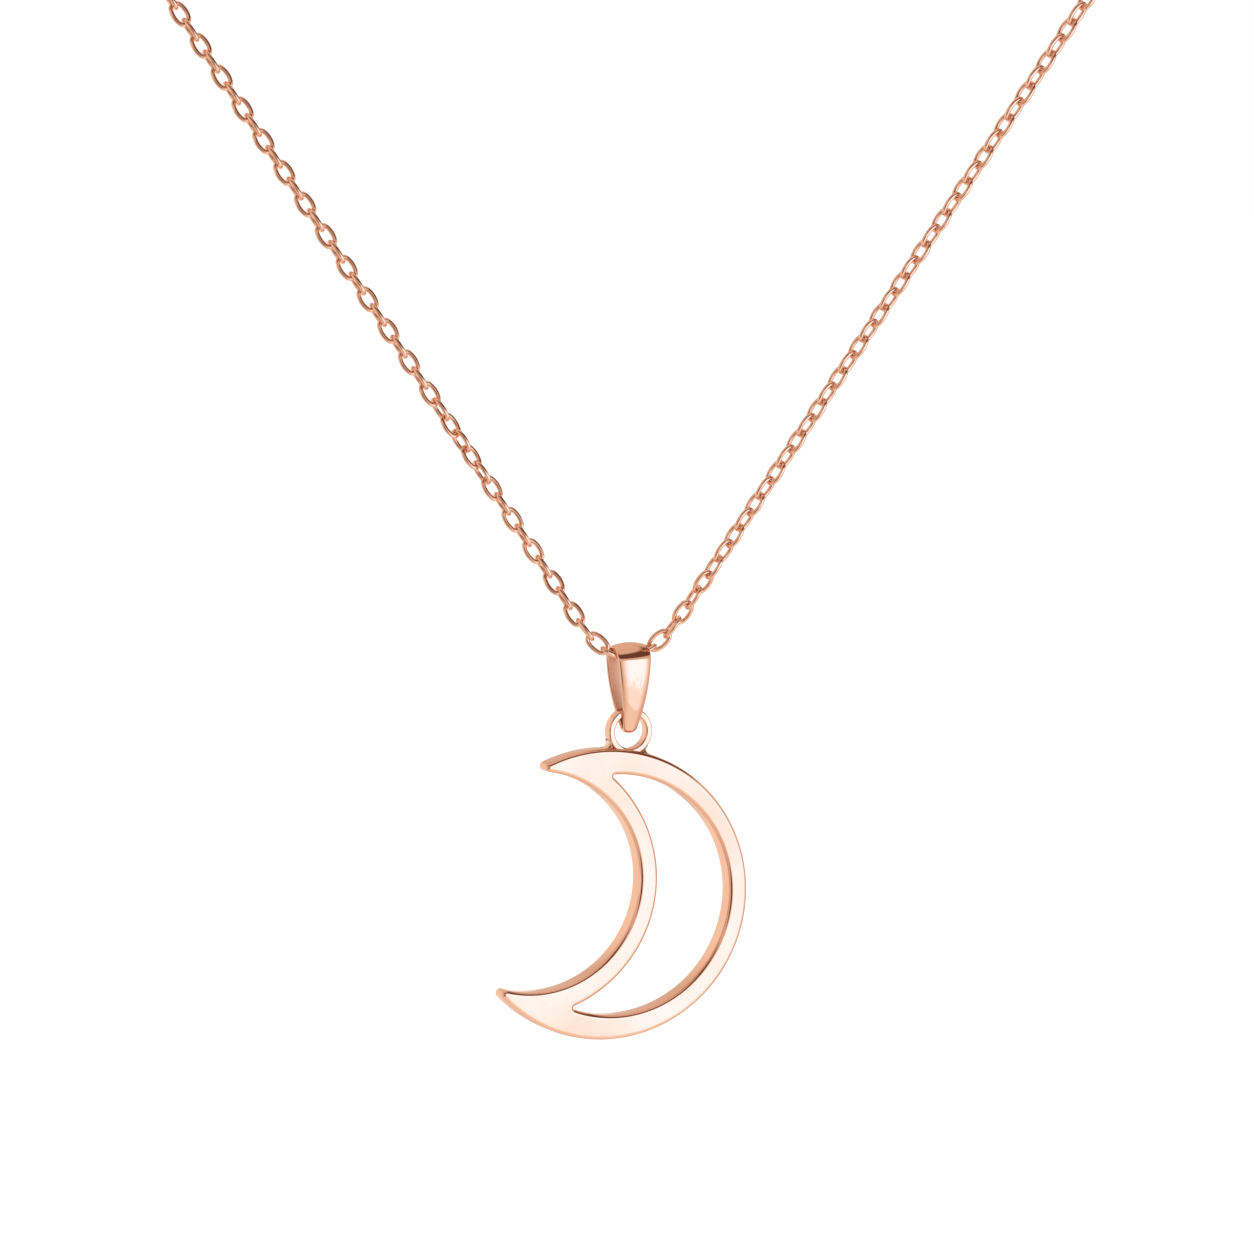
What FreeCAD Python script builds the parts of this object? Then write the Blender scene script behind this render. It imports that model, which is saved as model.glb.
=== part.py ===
import FreeCAD, Part
import math
import os
import Sketcher

# Pendant necklace: a cable chain worn round a neck, a tapered strip bail and an open
# crescent-moon pendant on a soldered eye ring, closed at the back by a lobster clasp.
# Units are millimetres. The origin is the middle of the back of the neck, X points to
# the wearer's left (a viewer's right), Y to the back and Z up. The V of the chain hangs
# in the plane y = -neck_depth and the pendant is turned a little on it.

os.makedirs("parts", exist_ok=True)
doc = FreeCAD.newDocument("pendant_necklace")
V = FreeCAD.Vector
Z_AXIS = V(0, 0, 1)
X_AXIS = V(1, 0, 0)

SIZES = [
    # chain link: oval of round wire
    ("link_length", 2.36),
    ("link_width", 1.54),
    ("link_wire", 0.38),
    ("link_roundness", 0.85),
    ("link_gap", 0.03),
    # how the chain lies: V at the front, then round the neck
    ("neck_depth", 100.0),
    ("neck_drop", 104.0),
    ("neck_half_width", 61.0),
    ("strand_lean", 33.1),
    ("first_link_lean", 64.0),
    ("second_link_lean", 47.5),
    ("third_link_lean", 38.0),
    ("level_links", 13),
    ("levels", 4),
    # the links of a worn chain are turned a little about the strand's line
    ("right_twist", 45.0),
    ("right_twist_links", 8),
    ("left_twist", 17.0),
    ("left_twist_links", 4),
    ("left_kink", 28.0),
    ("left_kink_at", 14),
    ("left_kink_links", 4),
    # bail: strip bent to a teardrop loop
    ("bail_height", 7.65),
    ("bail_strip", 0.4),
    ("bail_top_radius", 1.6),
    ("bail_foot_radius", 0.62),
    ("bail_side_radius", 11.0),
    ("bail_top_width", 3.2),
    ("bail_mid_width", 2.3),
    ("bail_foot_width", 1.1),
    ("bail_edge", 0.12),
    ("bail_gap", 0.03),
    # pendant: the eye ring hangs between the bail's sides, this far clear of each
    ("pendant_turn", 25.0),
    ("eye_gap", 0.1196),
    ("eye_outer_radius", 2.0),
    ("eye_hole_radius", 1.43),
    ("eye_depth", 1.05),
    ("eye_edge", 0.24),
    ("solder_radius", 0.5),
    ("solder_left_x", -1.55),
    ("solder_left_rise", 0.63),
    ("solder_right_x", 1.0),
    ("solder_right_rise", 0.12),
    # the crescent's four ovals; each rise is from the outer oval's centre, and the
    # outer oval's own rise is from one short half-axis below the ring
    ("moon_thickness", 1.83),
    ("moon_lean", -15.0),
    ("outer_x", -2.35),
    ("outer_rise", 0.69),
    ("outer_long", 13.01),
    ("outer_short", 12.25),
    ("cove_x", -9.03),
    ("cove_rise", 1.48),
    ("cove_long", 9.77),
    ("cove_short", 9.26),
    ("window_x", -1.6),
    ("window_rise", -0.09),
    ("window_long", 10.64),
    ("window_short", 10.13),
    ("waist_x", -10.51),
    ("waist_rise", 1.73),
    ("waist_long", 12.93),
    ("waist_short", 11.66),
    ("moon_tip_radius", 0.4),
    ("window_tip_radius", 0.15),
    ("moon_edge", 0.35),
    # lobster clasp and its rings
    ("hook_outer_radius", 2.5),
    ("hook_hole_radius", 1.5),
    ("clasp_eye_reach", 6.2),
    ("clasp_eye_radius", 1.25),
    ("clasp_eye_hole", 0.75),
    ("clasp_thickness", 1.3),
    ("clasp_edge", 0.2),
    ("gate_start", 38.0),
    ("lever_reach", 3.2),
    ("lever_thickness", 0.56),
    ("lever_slot", 0.64),
    ("lever_pivot_x", 2.615),
    ("lever_pivot_z", 0.85),
    ("lever_boss", 0.62),
    ("pin_radius", 0.28),
    ("pin_clearance", 0.03),
    ("lever_well", 1.35),
    ("lever_well_x", 2.05),
    ("lever_well_z", 0.95),
    ("thumb_nub", 0.42),
    ("spring_x", 1.95),
    ("spring_z", -0.33),
    ("spring_radius", 0.2),
    ("spring_wire", 0.09),
    ("spring_length", 0.68),
    ("end_ring_radius", 2.2),
    ("end_ring_wire", 0.5),
    ("jump_ring_radius", 2.0),
    ("jump_ring_wire", 0.45),
    ("hook_gap", 0.12),
]

sheet = doc.addObject("Spreadsheet::Sheet", "sizes")
for row, (name, value) in enumerate(SIZES, start=1):
    sheet.set("A%d" % row, name)
    sheet.set("B%d" % row, str(value))
    sheet.setAlias("B%d" % row, name)
doc.recompute()


def size(name):
    return float(sheet.get(name))


def bind(obj, **links):
    for prop, formula in links.items():
        obj.setExpression(prop, formula)
    return obj


def add(kind, name, **links):
    return bind(doc.addObject(kind, name), **links)


def turned(axis, angle):
    return FreeCAD.Rotation(axis, angle)


def origin_plane(body, role):
    return next(item for item in body.Origin.OriginFeatures if item.Role == role)


def sketch_on(body, role, name):
    sketch = body.newObject("Sketcher::SketchObject", name)
    sketch.AttachmentSupport = [(origin_plane(body, role), "")]
    sketch.MapMode = "FlatFace"
    return sketch


def add_circle(sketch, x, y, *names):
    """A circle whose radius follows the sum of the sheet's named sizes."""
    radius = sum(size(name) for name in names)
    index = sketch.addGeometry(Part.Circle(V(x, y, 0), V(0, 0, 1), radius))
    item = sketch.addConstraint(Sketcher.Constraint("Radius", index, radius))
    formula = " + ".join("sizes." + name for name in names)
    sketch.setExpression("Constraints[%d]" % item, formula)


def arc_through(a, b, c):
    return Part.Arc(V(a[0], a[1], 0), V(b[0], b[1], 0), V(c[0], c[1], 0))


def centred_pad(body, sketch, name, length_formula):
    pad = body.newObject("PartDesign::Pad", name)
    pad.Profile = sketch
    pad.Midplane = True
    pad.setExpression("Length", length_formula)
    doc.recompute()
    return pad


def centred_pocket(body, sketch, name, length_formula):
    pocket = body.newObject("PartDesign::Pocket", name)
    pocket.Profile = sketch
    pocket.Midplane = True
    pocket.setExpression("Length", length_formula)
    doc.recompute()
    return pocket


def rounded(body, base, name, keep, radius_name):
    """A fillet on the edges of base that keep(edge) picks."""
    names = []
    for index, edge in enumerate(base.Shape.Edges, start=1):
        if keep(edge):
            names.append("Edge%d" % index)
    fillet = body.newObject("PartDesign::Fillet", name)
    fillet.Base = (base, names)
    fillet.setExpression("Radius", "sizes." + radius_name)
    doc.recompute()
    return fillet


def part_fillet(base, name, keep, radius):
    picked = []
    for index, edge in enumerate(base.Shape.Edges, start=1):
        if keep(edge):
            picked.append((index, radius, radius))
    fillet = doc.addObject("Part::Fillet", name)
    fillet.Base = base
    fillet.Edges = picked
    doc.recompute()
    return fillet


def feature(name, shape):
    item = doc.addObject("Part::Feature", name)
    item.Shape = shape
    return item


neck_depth = size("neck_depth")
neck_drop = size("neck_drop")
BAIL_TOP = V(0, -neck_depth, -neck_drop)
PENDANT_PLACE = FreeCAD.Placement(BAIL_TOP, turned(Z_AXIS, size("pendant_turn")))
NODES = []


# ---------------------------------------------------------------- chain link
# The wire follows an oval of four tangent arcs: two short ends and two long sides.
HALF_LONG = "(sizes.link_length - sizes.link_wire) / 2"
HALF_WIDE = "(sizes.link_width - sizes.link_wire) / 2"
half_long = (size("link_length") - size("link_wire")) / 2
half_wide = (size("link_width") - size("link_wire")) / 2
end_radius = size("link_roundness") * half_wide
side_radius = ((half_long ** 2 + half_wide ** 2 - 2 * half_long * end_radius)
               / (2 * (half_wide - end_radius)))
side_angle = math.degrees(math.atan2(half_long - end_radius, side_radius - half_wide))


def wire_arc(name, radius, x, y, middle, half_angle):
    """A bent wire round (x, y), centred on the direction called middle."""
    arc = add("Part::Torus", name, Radius2="sizes.link_wire / 2")
    arc.Radius1 = radius
    arc.Angle3 = 2 * half_angle
    arc.Placement = FreeCAD.Placement(V(x, y, 0), turned(Z_AXIS, middle - half_angle))
    return arc


link_parts = []
for side, word in ((1, "far"), (-1, "near")):
    end = wire_arc("link_end_" + word, end_radius, side * (half_long - end_radius), 0,
                   90 - 90 * side, 90 - side_angle)
    bind(end, Radius1="sizes.link_roundness * " + HALF_WIDE,
         **{"Placement.Base.x": "%d * (%s - sizes.link_roundness * %s)"
            % (side, HALF_LONG, HALF_WIDE)})
    link_parts.append(end)
for side, word in ((1, "left"), (-1, "right")):
    link_parts.append(wire_arc("link_side_" + word, side_radius, 0,
                               side * (half_wide - side_radius), 90 * side, side_angle))
link_master = doc.addObject("Part::MultiFuse", "link_master")
link_master.Shapes = link_parts
doc.recompute()
link_shape = link_master.Shape
if link_shape.ShapeType != "Solid":
    link_shape = link_shape.Solids[0]


# ---------------------------------------------------------------- chain route
LINK_PITCH = size("link_length") - size("link_gap") - 2 * size("link_wire")


def strand_contacts(side):
    """Points where neighbouring links touch, from the centre link up one side of the V.

    The centre link and the next one each side lie square to the turned bail. After one
    more link four others bring the strand back into the plane of the V.
    """
    pitch = LINK_PITCH
    top = size("bail_strip") + size("bail_gap") + size("link_width") / 2
    turn = turned(Z_AXIS, size("pendant_turn"))
    leans = [size("first_link_lean"), size("second_link_lean"), size("third_link_lean")]
    point = V(0, -neck_depth, -neck_drop - top) + turn.multVec(V(side * pitch / 2, 0, 0))
    points = [point]
    drift = 0.0
    for number in range(int(size("levels") * size("level_links"))):
        lean = math.radians(leans[number] if number < len(leans) else size("strand_lean"))
        step = V(side * math.sin(lean), 0, math.cos(lean)) * pitch
        if number == 0:
            step = turn.multVec(step)
            drift = (point.y + step.y + neck_depth) / 4
        elif 2 <= number <= 5:
            step = step * math.sqrt(1 - (drift / pitch) ** 2) - V(0, drift, 0)
        point = point + step
        points.append(point)
    return points


def neck_curve(side, start, end):
    """A smooth line over the side of the neck from the top of the V to the clasp."""
    wide = size("neck_half_width")
    deep = neck_depth
    lean = math.radians(size("strand_lean"))
    points = [
        start,
        V(side * wide * 0.95, -deep * 0.73, -deep * 0.17),
        V(side * wide, -deep * 0.43, -deep * 0.055),
        V(side * wide * 0.74, -deep * 0.12, -deep * 0.008),
        end,
    ]
    curve = Part.BSplineCurve()
    curve.interpolate(Points=points,
                      InitialTangent=V(side * math.sin(lean), 0, math.cos(lean)) * 60,
                      FinalTangent=V(-side, 0, 0) * 60)
    return curve


def walk(curve, pitch, count):
    """Up to count + 1 points one pitch apart along the curve, from its start."""
    here, last = curve.FirstParameter, curve.LastParameter
    reach = (last - here) * 0.05
    points = [curve.value(here)]
    while len(points) <= count:
        low, high = here, min(last, here + reach)
        if curve.value(high).distanceToPoint(points[-1]) < pitch:
            break
        for _ in range(40):
            middle = (low + high) / 2
            if curve.value(middle).distanceToPoint(points[-1]) < pitch:
                low = middle
            else:
                high = middle
        here = high
        points.append(curve.value(here))
    return points


def even_walk(curve, pitch):
    """As walk, with the pitch shortened a little so that the last point is the end."""
    count = int(curve.length() / pitch) + 1
    low, high = pitch * 0.95, pitch
    for _ in range(40):
        middle = (low + high) / 2
        if len(walk(curve, middle, count)) <= count:
            high = middle
        else:
            low = middle
    return walk(curve, low, count)


def strand_twist(side, number):
    """How far a link of the V is turned about the strand, beyond the quarter turns."""
    if side > 0:
        return size("right_twist") * min(1.0, number / size("right_twist_links"))
    kink = max(0.0, 1 - abs(number - size("left_kink_at")) / size("left_kink_links"))
    return (size("left_twist") * min(1.0, number / size("left_twist_links"))
            + size("left_kink") * kink)


def link_places(contacts, first_normal, first_roll, twist_of, last_normal=None):
    """Placements of the links between contact points, each rolled a quarter turn on.

    twist_of(number) is added to a link's roll. With last_normal the rolls slip evenly, so
    that the last link faces that way or lies square to it.
    """
    places = []
    normal = first_normal
    old = None
    frames = []
    for start, end in zip(contacts[:-1], contacts[1:]):
        along = (end - start).normalize()
        if old is not None:
            normal = FreeCAD.Rotation(old, along).multVec(normal)
        old = along
        frames.append(((start + end) * 0.5, along, V(normal)))
    slip = 0.0
    if last_normal is not None:
        centre, along, normal = frames[-1]
        roll = first_roll + 90.0 * (len(frames) - 1) + twist_of(len(frames) - 1)
        facing = turned(along, roll).multVec(normal)
        slip = math.degrees(math.atan2(along.dot(facing.cross(last_normal)),
                                       facing.dot(last_normal)))
        slip = (slip + 90.0) % 180.0 - 90.0
    for number, (centre, along, normal) in enumerate(frames):
        roll = first_roll + 90.0 * number + twist_of(number)
        roll += slip * number / max(1, len(frames) - 1)
        facing = turned(along, roll).multVec(normal)
        across = facing.cross(along)
        places.append(FreeCAD.Placement(centre, FreeCAD.Rotation(along, across, facing, "XYZ")))
    return places


def chain_node(name, places):
    copies = []
    for place in places:
        copy = link_shape.copy()
        copy.Placement = place.multiply(link_shape.Placement)
        copies.append(copy)
    NODES.append(feature(name, Part.makeCompound(copies)))


FRONT = V(0, 1, 0)
centre_z = -neck_drop - size("bail_strip") - size("bail_gap") - size("link_width") / 2
centre_place = FreeCAD.Placement(V(0, -neck_depth, centre_z),
                                 turned(Z_AXIS, size("pendant_turn")) * turned(X_AXIS, 90))
chain_node("centre_link", [centre_place])

# The clasp's rings reach this far left and right of the hook's hole, so the origin is
# put midway between the two chain ends.
ring_reach = LINK_PITCH / 2 - size("link_length") / 2 + size("link_wire") / 2
left_wire = (-size("hook_hole_radius") + size("end_ring_wire") / 2 + size("hook_gap")
             - 2 * size("end_ring_radius"))
right_wire = (size("clasp_eye_reach") + size("clasp_eye_hole") - size("jump_ring_wire") / 2
              - size("hook_gap") + 2 * size("jump_ring_radius"))
link_slack = size("link_wire") / 2 + 0.6 * size("hook_gap")
left_end = left_wire + size("end_ring_wire") / 2 + link_slack + ring_reach
right_end = right_wire - size("jump_ring_wire") / 2 - link_slack - ring_reach
clasp_shift = -(left_end + right_end) / 2
half_span = (right_end - left_end) / 2

level_count = int(size("level_links"))
for side, word in ((-1, "left"), (1, "right")):
    contacts = strand_contacts(side)
    places = link_places(contacts, FRONT, 90.0, lambda number: strand_twist(side, number))
    for level in range(int(size("levels"))):
        group = places[level * level_count:(level + 1) * level_count]
        chain_node("chain_%s_%d" % (word, level + 1), group)
    curve = neck_curve(side, contacts[-1], V(side * half_span, 0, 0))
    back_contacts = even_walk(curve, LINK_PITCH)
    last_roll = 90.0 * (len(places) + 1) + strand_twist(side, len(places))
    back_places = link_places(back_contacts, FRONT, last_roll, lambda number: 0.0, FRONT)
    share = math.ceil(len(back_places) / 6)
    for part in range(6):
        group = back_places[part * share:(part + 1) * share]
        if group:
            chain_node("chain_back_%s_%d" % (word, part + 1), group)


# ---------------------------------------------------------------- bail
def side_arcs():
    """How far past the middle, and how high, the centres of the loop's side arcs are."""
    foot_z = -size("bail_height") + size("bail_foot_radius")
    span = -size("bail_top_radius") - foot_z
    top_arm = size("bail_side_radius") - size("bail_top_radius")
    foot_arm = size("bail_side_radius") - size("bail_foot_radius")
    rise = (foot_arm ** 2 - top_arm ** 2 + span ** 2) / (2 * span)
    return math.sqrt(foot_arm ** 2 - rise ** 2), foot_z + rise


def teardrop(sketch, inset):
    """Closed loop of four tangent arcs; inset moves the whole loop inwards."""
    side_r = size("bail_side_radius")
    top_z = -size("bail_top_radius")
    foot_z = -size("bail_height") + size("bail_foot_radius")
    reach, centre_z = side_arcs()
    joins = {}
    for side in (1, -1):
        centre = V(-side * reach, centre_z, 0)
        up = (V(0, top_z, 0) - centre).normalize()
        down = (V(0, foot_z, 0) - centre).normalize()
        joins[side] = (centre + up * (side_r - inset), centre + down * (side_r - inset))
        middle = centre + V(side, 0, 0) * (side_r - inset)
        sketch.addGeometry(arc_through(joins[side][0], middle, joins[side][1]))
    sketch.addGeometry(arc_through(joins[1][0], V(0, -inset, 0), joins[-1][0]))
    low = V(0, -size("bail_height") + inset, 0)
    sketch.addGeometry(arc_through(joins[1][1], low, joins[-1][1]))


bail = doc.addObject("PartDesign::Body", "bail")
loop = sketch_on(bail, "YZ_Plane", "bail_loop")
teardrop(loop, 0.0)
teardrop(loop, size("bail_strip"))
band = centred_pad(bail, loop, "bail_band", "sizes.bail_top_width + 1")
taper = sketch_on(bail, "XZ_Plane", "bail_taper")
for side in (1, -1):
    far = side * size("bail_top_width")
    a = (side * size("bail_top_width") / 2, 0.5)
    b = (side * size("bail_mid_width") / 2, -size("bail_height") * 0.55)
    c = (side * size("bail_foot_width") / 2, -size("bail_height") - 0.05)
    d = (side * size("bail_foot_width") / 2, -size("bail_height") - 1)
    taper.addGeometry(arc_through(a, b, c))
    for start, end in ((c, d), (d, (far, d[1])), ((far, d[1]), (far, 0.5)), ((far, 0.5), a)):
        taper.addGeometry(Part.LineSegment(V(start[0], start[1], 0), V(end[0], end[1], 0)))
trimmed = centred_pocket(bail, taper, "bail_sides", "6 * sizes.bail_top_radius")


def is_bail_rim(edge):
    middle = edge.valueAt((edge.FirstParameter + edge.LastParameter) / 2)
    ends = [vertex.Point for vertex in edge.Vertexes]
    cross = abs(ends[0].x - ends[-1].x) > 0.3 and abs(ends[0].x + ends[-1].x) < 0.01
    return abs(middle.x) > 0.2 and not cross


rounded(bail, trimmed, "bail_rounding", is_bail_rim, "bail_edge")
bail.Placement = PENDANT_PLACE
NODES.append(bail)


# The ring's bore rests where the loop is as wide inside as the ring is deep, with a gap
# at each side, and the crescent hangs from the ring's lowest point.
side_reach, side_z = side_arcs()
inner_side = size("bail_side_radius") - size("bail_strip")
rest_reach = side_reach + size("eye_depth") / 2 + size("eye_gap")
rest_z = side_z - math.sqrt(inner_side ** 2 - rest_reach ** 2)
EYE_Z = rest_z - size("eye_hole_radius")
RING_LOW = EYE_Z - size("eye_outer_radius")
OUTER_Z = RING_LOW - size("outer_short") + size("outer_rise")


# ---------------------------------------------------------------- moon
def oval_block(name, key, spare):
    """An oval prism through the moon's thickness, grown by spare at both faces."""
    both = "(sizes.%s_long; sizes.%s_short)" % (key, key)
    oval = add("Part::Ellipse", name + "_oval", MajorRadius="max" + both,
               MinorRadius="min" + both)
    half = "sizes.moon_thickness / 2 + %s" % spare
    quarter = 90 if size(key + "_short") > size(key + "_long") else 0
    lean = turned(X_AXIS, 90).multiply(turned(Z_AXIS, size("moon_lean") + quarter))
    z = OUTER_Z if key == "outer" else OUTER_Z + size(key + "_rise")
    oval.Placement = FreeCAD.Placement(V(0, 0, z), lean)
    bind(oval, **{"Placement.Base.x": "sizes.%s_x" % key,
                  "Placement.Base.y": "-(%s)" % half})
    block = add("Part::Extrusion", name, LengthFwd="2 * (%s)" % half)
    block.Base = oval
    block.DirMode = "Custom"
    block.Dir = V(0, 1, 0)
    block.Solid = True
    return block


def cut(name, base, tool):
    item = doc.addObject("Part::Cut", name)
    item.Base = base
    item.Tool = tool
    doc.recompute()
    return item


def is_across(edge):
    if len(edge.Vertexes) < 2:
        return False
    run = edge.Vertexes[-1].Point - edge.Vertexes[0].Point
    return abs(run.y) > size("moon_thickness") * 0.9 and abs(run.x) + abs(run.z) < 0.01


def is_face_rim(edge):
    half = size("moon_thickness") / 2
    box = edge.BoundBox
    return box.YLength < 0.001 and abs(abs(box.Center.y) - half) < 0.001


crescent = cut("crescent", oval_block("moon_outer", "outer", "0"),
               oval_block("moon_cove", "cove", "1"))
crescent_tips = part_fillet(crescent, "crescent_tips", is_across, size("moon_tip_radius"))
window = cut("window", oval_block("window_outer", "window", "1"),
             oval_block("window_waist", "waist", "2"))
window_tips = part_fillet(window, "window_tips",
                          lambda edge: abs(edge.BoundBox.YLength) > size("moon_thickness"),
                          size("window_tip_radius"))
open_moon = cut("open_moon", crescent_tips, window_tips)
moon_frame = part_fillet(open_moon, "moon_frame", is_face_rim, size("moon_edge"))
moon_frame.Placement = PENDANT_PLACE
doc.recompute()
NODES.append(moon_frame)


# ---------------------------------------------------------------- eye ring and solder
eye = doc.addObject("PartDesign::Body", "eye_band")
eye_sketch = sketch_on(eye, "XZ_Plane", "eye_circles")
add_circle(eye_sketch, 0, EYE_Z, "eye_outer_radius")
add_circle(eye_sketch, 0, EYE_Z, "eye_hole_radius")
eye_pad = centred_pad(eye, eye_sketch, "eye_pad", "sizes.eye_depth")
rounded(eye, eye_pad, "eye_rounding", lambda edge: edge.BoundBox.YLength < 0.01, "eye_edge")
eye.Placement = PENDANT_PLACE
doc.recompute()
pendant_ring = cut("pendant_ring", eye, moon_frame)
NODES.append(pendant_ring)

eye_disc = add("Part::Cylinder", "eye_disc", Radius="sizes.eye_outer_radius",
               Height="2 * sizes.eye_depth")
eye_disc.Placement = PENDANT_PLACE.multiply(FreeCAD.Placement(
    V(0, size("eye_depth"), EYE_Z), turned(X_AXIS, 90)))
for word in ("left", "right"):
    bead = add("Part::Cylinder", "bead_" + word, Radius="sizes.solder_radius",
               Height="0.8 * sizes.eye_depth")
    bead.Placement = PENDANT_PLACE.multiply(FreeCAD.Placement(
        V(size("solder_%s_x" % word), 0.4 * size("eye_depth"),
          RING_LOW + size("solder_%s_rise" % word)), turned(X_AXIS, 90)))
    doc.recompute()
    shaped = cut("bead_shaped_" + word, bead, eye_disc)
    NODES.append(cut("solder_" + word, shaped, moon_frame))


# ---------------------------------------------------------------- lobster clasp
# Drawn with the hook's hole at the drawing's origin and the gate on the upper side, then
# turned over so that the lever hangs below.
CLASP_PLACE = FreeCAD.Placement(V(clasp_shift, 0, 0), turned(X_AXIS, 180))


def polar(radius, angle, centre=(0.0, 0.0)):
    turn = math.radians(angle)
    return (centre[0] + radius * math.cos(turn), centre[1] + radius * math.sin(turn))


def add_line(sketch, start, end):
    sketch.addGeometry(Part.LineSegment(V(start[0], start[1], 0), V(end[0], end[1], 0)))


reach = size("clasp_eye_reach")
hook_r = size("hook_outer_radius")
tail_r = size("clasp_eye_radius")
belt = math.degrees(math.acos((hook_r - tail_r) / reach))

clasp_blank = doc.addObject("PartDesign::Body", "clasp_blank")
outline = sketch_on(clasp_blank, "XZ_Plane", "clasp_outline")
outline.addGeometry(arc_through(polar(hook_r, belt), (-hook_r, 0), polar(hook_r, -belt)))
tail = (reach, 0.0)
outline.addGeometry(arc_through(polar(tail_r, -belt, tail), (reach + tail_r, 0),
                                polar(tail_r, belt, tail)))
add_line(outline, polar(hook_r, belt), polar(tail_r, belt, tail))
add_line(outline, polar(hook_r, -belt), polar(tail_r, -belt, tail))
add_circle(outline, 0, 0, "hook_hole_radius")
add_circle(outline, reach, 0, "clasp_eye_hole")
blank_pad = centred_pad(clasp_blank, outline, "clasp_pad", "sizes.clasp_thickness")
half_clasp = size("clasp_thickness") / 2
rounded(clasp_blank, blank_pad, "clasp_rounding",
        lambda edge: edge.BoundBox.YLength < 0.001
        and abs(abs(edge.BoundBox.Center.y) - half_clasp) < 0.001, "clasp_edge")
pivot = (size("lever_pivot_x"), size("lever_pivot_z"))
gate = sketch_on(clasp_blank, "XZ_Plane", "clasp_gate")
gate_a = size("gate_start")
nose = size("lever_reach") + 0.07
gate_points = [polar(nose, 179, pivot), polar(0.6 * size("hook_hole_radius"), gate_a),
               polar(1.36 * hook_r, gate_a), polar(nose, 130, pivot)]
for start, end in zip(gate_points[:-1], gate_points[1:]):
    add_line(gate, start, end)
gate.addGeometry(arc_through(gate_points[-1], polar(nose, 155, pivot), gate_points[0]))
centred_pocket(clasp_blank, gate, "clasp_gate_cut", "2 * sizes.clasp_thickness")
well = sketch_on(clasp_blank, "XZ_Plane", "lever_well_circle")
add_circle(well, size("lever_well_x"), size("lever_well_z"), "lever_well")
centred_pocket(clasp_blank, well, "lever_well_cut", "sizes.lever_slot")
pin_bore = sketch_on(clasp_blank, "XZ_Plane", "pin_bore_circle")
add_circle(pin_bore, size("lever_pivot_x"), size("lever_pivot_z"), "pin_radius")
centred_pocket(clasp_blank, pin_bore, "pin_bore", "2 * sizes.clasp_thickness")
clasp_blank.Label = "clasp_body"
clasp_blank.Placement = CLASP_PLACE
NODES.append(clasp_blank)

lever = doc.addObject("PartDesign::Body", "clasp_lever")
lever_outline = sketch_on(lever, "XZ_Plane", "lever_outline")
inner_r, outer_r = size("hook_hole_radius") + 0.12, hook_r - 0.05
boss = size("lever_boss")
arm_angle = gate_a + 8.0


def tip_angle(radius):
    """Where a circle about the hook's hole meets the arc that the lever's tip sweeps."""
    far = math.hypot(*pivot)
    swing = size("lever_reach")
    bend = math.acos((radius ** 2 + far ** 2 - swing ** 2) / (2 * radius * far))
    return math.degrees(math.atan2(pivot[1], pivot[0]) + bend)


heel_out = polar(boss, 62, pivot)
heel_in = polar(boss, 236, pivot)
tip_out = polar(outer_r, tip_angle(outer_r))
tip_in = polar(inner_r, tip_angle(inner_r))
middle_r = (inner_r + outer_r) / 2
lever_outline.addGeometry(arc_through(polar(outer_r, arm_angle), polar(outer_r, 70), tip_out))
lever_outline.addGeometry(arc_through(tip_out, polar(middle_r, tip_angle(middle_r)), tip_in))
lever_outline.addGeometry(arc_through(tip_in, polar(inner_r, 80), polar(inner_r, arm_angle)))
add_line(lever_outline, polar(inner_r, arm_angle), heel_in)
lever_outline.addGeometry(arc_through(heel_in, polar(boss, -31, pivot), heel_out))
add_line(lever_outline, heel_out, polar(outer_r, arm_angle))
lever_pad = centred_pad(lever, lever_outline, "lever_pad", "sizes.lever_thickness")
nub = sketch_on(lever, "XZ_Plane", "thumb_nub")
add_circle(nub, *polar(outer_r + 0.05, 62), "thumb_nub")
centred_pad(lever, nub, "nub_pad", "sizes.lever_thickness")
lever_bore = sketch_on(lever, "XZ_Plane", "lever_bore_circle")
add_circle(lever_bore, *pivot, "pin_radius", "pin_clearance")
centred_pocket(lever, lever_bore, "lever_bore", "2 * sizes.lever_thickness")
lever.Placement = CLASP_PLACE
NODES.append(lever)

pin = add("Part::Cylinder", "clasp_pin", Radius="sizes.pin_radius",
          Height="sizes.clasp_thickness")
pin.Placement = CLASP_PLACE.multiply(FreeCAD.Placement(
    V(pivot[0], size("clasp_thickness") / 2, pivot[1]), turned(X_AXIS, 90)))
NODES.append(pin)

helix = add("Part::Helix", "spring_helix", Height="sizes.spring_length",
            Pitch="sizes.spring_length / 4", Radius="sizes.spring_radius")
wire_end = add("Part::Circle", "spring_wire_end", Radius="sizes.spring_wire / 2")
wire_end.Placement = FreeCAD.Placement(V(size("spring_radius"), 0, 0), turned(X_AXIS, 90))
bind(wire_end, **{"Placement.Base.x": "sizes.spring_radius"})
spring = doc.addObject("Part::Sweep", "clasp_spring")
spring.Sections = [wire_end]
spring.Spine = (helix, [])
spring.Solid = True
spring.Frenet = True
spring.Placement = CLASP_PLACE.multiply(FreeCAD.Placement(
    V(size("spring_x"), 0, size("spring_z")), turned(Z_AXIS, 0)))
NODES.append(spring)

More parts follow.
